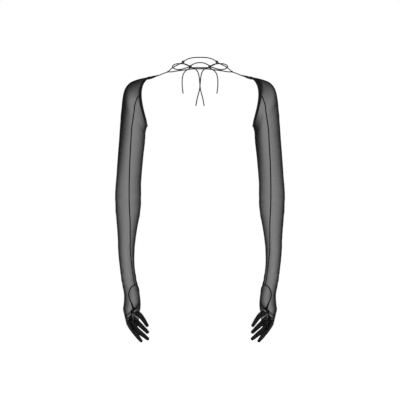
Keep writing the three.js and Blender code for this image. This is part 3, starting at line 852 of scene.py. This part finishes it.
def front_seam(name, side, first, last):
    places = np.linspace(first, last, 400)
    angles = smooth(SLEEVE[:, 8:9], places)[:, 0]
    points = sleeve_cloth(places, angles)
    ups = sleeve_normal(places, angles)
    run = np.concatenate([[0], np.cumsum(np.linalg.norm(np.diff(points, axis=0), axis=1))])
    wanted = np.linspace(0, run[-1], int(run[-1] / 0.9))
    pick = lambda field: np.stack([np.interp(wanted, run, field[:, i]) for i in range(3)], axis=1)
    return strand(name, side, pick(points), 3.2, 1.4, pick(ups), 10, ridge=(0.12, 1.8))


def armhole_edge(offset, lift):
    """A loop along the armhole, moved along the sleeve by a number of rings and off the cloth by mm."""
    angles = np.linspace(0, 360, 361)
    points = sleeve_shape(np.full(len(angles), 0.0), angles)
    further = sleeve_shape(np.full(len(angles), 0.5), angles) - points
    further = further / np.maximum(np.linalg.norm(further, axis=1, keepdims=True), 1e-9)
    normals = sleeve_normal(np.full(len(angles), 0.12), angles)
    normals[-1] = normals[0]
    normals = smooth_round(normals, 6)
    further = smooth_round(further, 6)
    return points + further * offset + normals * lift, normals, further


def smooth_round(field, times):
    for _ in range(times):
        ring = field[:-1]
        ring = (np.roll(ring, 1, axis=0) + 2 * ring + np.roll(ring, -1, axis=0)) / 4
        ring = ring / np.maximum(np.linalg.norm(ring, axis=1, keepdims=True), 1e-9)
        field = np.vstack([ring, ring[:1]])
    return field


def resampled(points, fields, step):
    run = np.concatenate([[0], np.cumsum(np.linalg.norm(np.diff(points, axis=0), axis=1))])
    wanted = np.linspace(0, run[-1], max(3, int(round(run[-1] / step)) + 1))
    pick = lambda field: np.stack([np.interp(wanted, run, field[:, i]) for i in range(3)], axis=1)
    return [pick(f) for f in (points, *fields)], wanted


def binding(side):
    """Folded elastic round the armhole, and the zigzag thread that holds it on."""
    points, normals, further = armhole_edge(2.4, 0)
    (points, normals, further), _ = resampled(points, (normals, further), 1.5)
    band = strand(f"{side}_binding", side, points, 6, 1.8, normals, 16, closed=True, square=0.55)
    threads = []
    for where, lift in (("outer", 1.05), ("inner", -1.05)):
        (edge, up, ahead), wanted = resampled(points, (normals, further), 0.5)
        swing = 1.3 * np.abs((wanted / 1.6) % 2 - 1) - 0.65
        path = edge + ahead * (1.1 + swing)[:, None] + up * lift
        path[-1] = path[0]
        thread = strand(f"{side}_binding_{where}_stitch", side, path, 0.45, 0.45, up, 5, closed=True)
        threads.append(thread)
    return band, threads


def tab(side):
    """The folded end of the binding, stitched round the cord at the sleeve's tip."""
    route = [(117, -0.4, -52), (128, -0.3, -55.7), (134.4, -0.2, -57.8), (141, 0, -59.8), (149, 0, -61.9)]
    path = even_path(route, 0.5)
    ups = np.tile((0.0, -1.0, 0.0), (len(path), 1))
    widths = (0.4, 0.5, 0.8, 1, 1, 0.95, 0.85)
    return strand(f"{side}_tab", side, path, 7, 3.4, ups, 16, square=0.6, taper=widths)


def glove(side):
    sign = 1 if side == "left" else -1
    spot = lambda x, y, z: (sign * x, y, z)
    upper, forearm, hand = f"{side}_upper_arm", f"{side}_forearm_part", f"{side}_hand_part"
    elbow = dict(start=spot(0.2015, -0.0388, -0.332), end=spot(0.2015, -0.0388, -0.442))
    wrist = dict(start=spot(0.199, -0.011, -0.596), end=spot(0.199, -0.011, -0.632))

    skin = stretch_of_sleeve(
        f"{side}_sleeve_above_elbow", side, 0, FOREARM_SPLIT, 96, 8, (235, 470), shoulder_bunching_and_shade
    )
    place_piece(skin, "sheer_mesh", (upper, forearm), **elbow, stands_for=[f"{side}_upper_sleeve"])
    skin = stretch_of_sleeve(
        f"{side}_sleeve_below_elbow", side, FOREARM_SPLIT, PALM_SPLIT, 96, 12, (150, 125), lambda u, v: 0 * u
    )
    place_piece(skin, "sheer_mesh", (forearm, hand), **wrist, stands_for=[f"{side}_forearm_sleeve"])

    seam = front_seam(f"{side}_arm_seam", side, 0.15, FOREARM_SPLIT)
    place_piece(seam, "seam_thread", (upper, forearm), **elbow, stands_for=[f"{side}_upper_seam"])
    seam = front_seam(f"{side}_wrist_seam", side, FOREARM_SPLIT, WRIST + 22.6 / 25)
    place_piece(seam, "seam_thread", (forearm, hand), **wrist, stands_for=[f"{side}_forearm_seam"])

    band, threads = binding(side)
    place_piece(band, "elastic_binding", upper, stands_for=[f"{side}_armhole_binding"])
    for thread in threads:
        place_piece(thread, "seam_thread", upper)
    place_piece(tab(side), "elastic_binding", upper, stands_for=[f"{side}_shoulder_tab"])

    skin, edge, rim = palm(side)
    open_thumb_hole(skin, side, edge)
    place_piece(skin, "sheer_mesh", hand, stands_for=[f"{side}_hand"])

    panel = thumb(side, edge, rim)
    place_piece(
        panel,
        "sheer_mesh",
        (hand, f"{side}_thumb_part"),
        start=spot(0.178, -0.0778, -0.690),
        end=spot(0.178, -0.0778, -0.718),
        stands_for=[f"{side}_thumb_base", f"{side}_thumb"],
    )

    normals = sleeve_normal(*on_hand(edge[:, 0], edge[:, 1]))
    sewn = np.arange(THUMB_SEAM_START, THUMB_SEAM_START + THUMB_SEAM_POINTS) % RIM_POINTS
    (path, ups), _ = resampled(rim[sewn], (normals[sewn],), 0.9)
    seam = strand(f"{side}_thumb_edge_seam", side, path, 3.3, 1.7, ups, 10, ridge=(0.1, 1.8))
    place_piece(seam, "seam_thread", hand, stands_for=[f"{side}_thumb_seam"])

    for name in FINGERS:
        part = f"{side}_{name}_part"
        skin, sections, turn = finger(side, name)
        mouth = sections[1].mean(axis=0) * MM
        bend = dict(
            start=spot(mouth[0] + BEND_START[0], mouth[1], mouth[2] + BEND_START[1]),
            end=spot(mouth[0] + BEND_END[0], mouth[1], mouth[2] + BEND_END[1]),
        )
        place_piece(skin, "finger_mesh", (hand, part), **bend, stands_for=[f"{side}_{name}_finger"])
        seam = finger_seam(side, name, sections, turn)
        place_piece(seam, "seam_thread", (hand, part), **bend)


# Neck cords


def whole_line(half):
    return list(half) + [(-x, y, z) for x, y, z in reversed(half[:-1])]


def knot(name, side, centre, size, turns, lean):
    """A pulled-tight knot: one strand wound through itself."""
    t = np.linspace(0, 2 * math.pi, 121)
    ring = size * (1 + 0.42 * np.cos(3 * t))
    depth = 0.62 * size * np.sin(3 * t)
    points = np.stack([ring * np.cos(turns * t), depth, ring * np.sin(turns * t)], axis=1)
    c, s = math.cos(lean), math.sin(lean)
    points = points @ np.array([[c, 0, s], [0, 1, 0], [-s, 0, c]]) + np.array(centre)
    points[-1] = points[0]
    return strand(name, side, points, CORD * 0.95, sides=10, closed=True)


def wrap(name, side):
    """Three tight turns of thread that hold the front cord to the shoulder cord."""
    i = SHOULDER.index(FORK)
    along = np.array(SHOULDER[i + 1], float) - np.array(SHOULDER[i - 1], float)
    along = along / np.linalg.norm(along)
    first = np.cross(along, (0, 1, 0))
    first = first / np.linalg.norm(first)
    second = np.cross(along, first)
    t = np.linspace(0, 1, 140)
    a = 2 * math.pi * 4 * t
    points = np.array(FORK) + along * (3.6 * (t - 0.5))[:, None]
    points = points + 1.75 * (np.cos(a)[:, None] * first + np.sin(a)[:, None] * second)
    return strand(name, side, points, 1.0, sides=8)


def neck():
    root = "neck_cords"
    for name, half in (
        ("nape_cord", NAPE),
        ("front_cord", FRONT),
        ("centre_loop", CENTRE_LOOP),
        ("centre_bar", CENTRE_BAR),
    ):
        piece = strand(name + "_line", "left", even_path(whole_line(half), 1.0), CORD)
        place_piece(piece, "neck_cord", root, stands_for=[name])
    for side in ("left", "right"):
        sign = 1 if side == "left" else -1
        for name, line in (("shoulder_cord", SHOULDER), ("throat_cord", THROAT)):
            piece = strand(f"{side}_{name}_line", side, even_path(line, 1.0), CORD)
            place_piece(piece, "neck_cord", root, stands_for=[f"{side}_{name}"])
        piece = knot(f"{side}_side_knot_wound", side, SIDE_KNOT, 2.0, 2, 0.5)
        place_piece(piece, "neck_cord", root, stands_for=[f"{side}_side_knot"])
        piece = knot(f"{side}_tie_knot_wound", side, TIE_KNOT, 2.3, 2, 0.0)
        place_piece(piece, "neck_cord", root, stands_for=[f"{side}_tie_knot"])
        piece = wrap(f"{side}_fork_wrap", side)
        place_piece(piece, "neck_cord", root, stands_for=[f"{side}_fork_knot"])

        level = INNER_TAIL_Y[side]
        inner = [(x, level if y is None else y, z) for x, y, z in INNER_TAIL]
        for name, line, end in (
            ("bow_loop", BOW, "object"),
            ("outer_tail", OUTER_TAIL, "bare"),
            ("inner_tail", inner, "bare"),
        ):
            path = even_path(line, 1.0)
            piece = strand(f"{side}_{name}_line", side, path, CORD)
            place_piece(piece, "neck_cord", root, stands_for=[f"{side}_{name}"])
            real = path * MM
            real[:, 0] *= sign


glove("left")
glove("right")
neck()


# Studio


def studio():
    bpy.ops.object.select_all(action="DESELECT")
    bpy.ops.mesh.primitive_plane_add(size=14, location=(0, 0, 0))
    floor = bpy.context.object
    floor.name = "studio_floor"
    bpy.ops.transform.translate(value=(0, 0, -1.25))
    bpy.ops.object.transform_apply(location=True)
    paper, _, _, shader = finish_nodes("white_paper")
    shader.inputs["Base Color"].default_value = (0.9, 0.9, 0.9, 1)
    shader.inputs["Roughness"].default_value = 0.9
    shader.inputs["Emission Color"].default_value = (1, 1, 1, 1)
    shader.inputs["Emission Strength"].default_value = 0.25
    floor.data.materials.append(paper)

    world = bpy.data.worlds.new("white_studio")
    world.use_nodes = True
    world.node_tree.nodes["Background"].inputs["Color"].default_value = (1, 1, 1, 1)
    world.node_tree.nodes["Background"].inputs["Strength"].default_value = 1.0
    bpy.context.scene.world = world

    bpy.ops.object.light_add(type="AREA", location=(-1.6, -2.4, 1.2))
    key = bpy.context.object
    key.name = "soft_key"
    key.data.size = 1.8
    key.data.energy = 40
    key.rotation_euler = (math.radians(62), 0, math.radians(-33))

    bpy.ops.object.camera_add(location=(0, -5.6, -0.4012), rotation=(math.pi / 2, 0, 0))
    camera = bpy.context.object
    camera.name = "front_camera"
    camera.data.lens = 180
    camera.data.sensor_width = 36
    camera.data.clip_end = 60
    bpy.context.scene.camera = camera
    bpy.context.scene.view_settings.view_transform = "Standard"


studio()
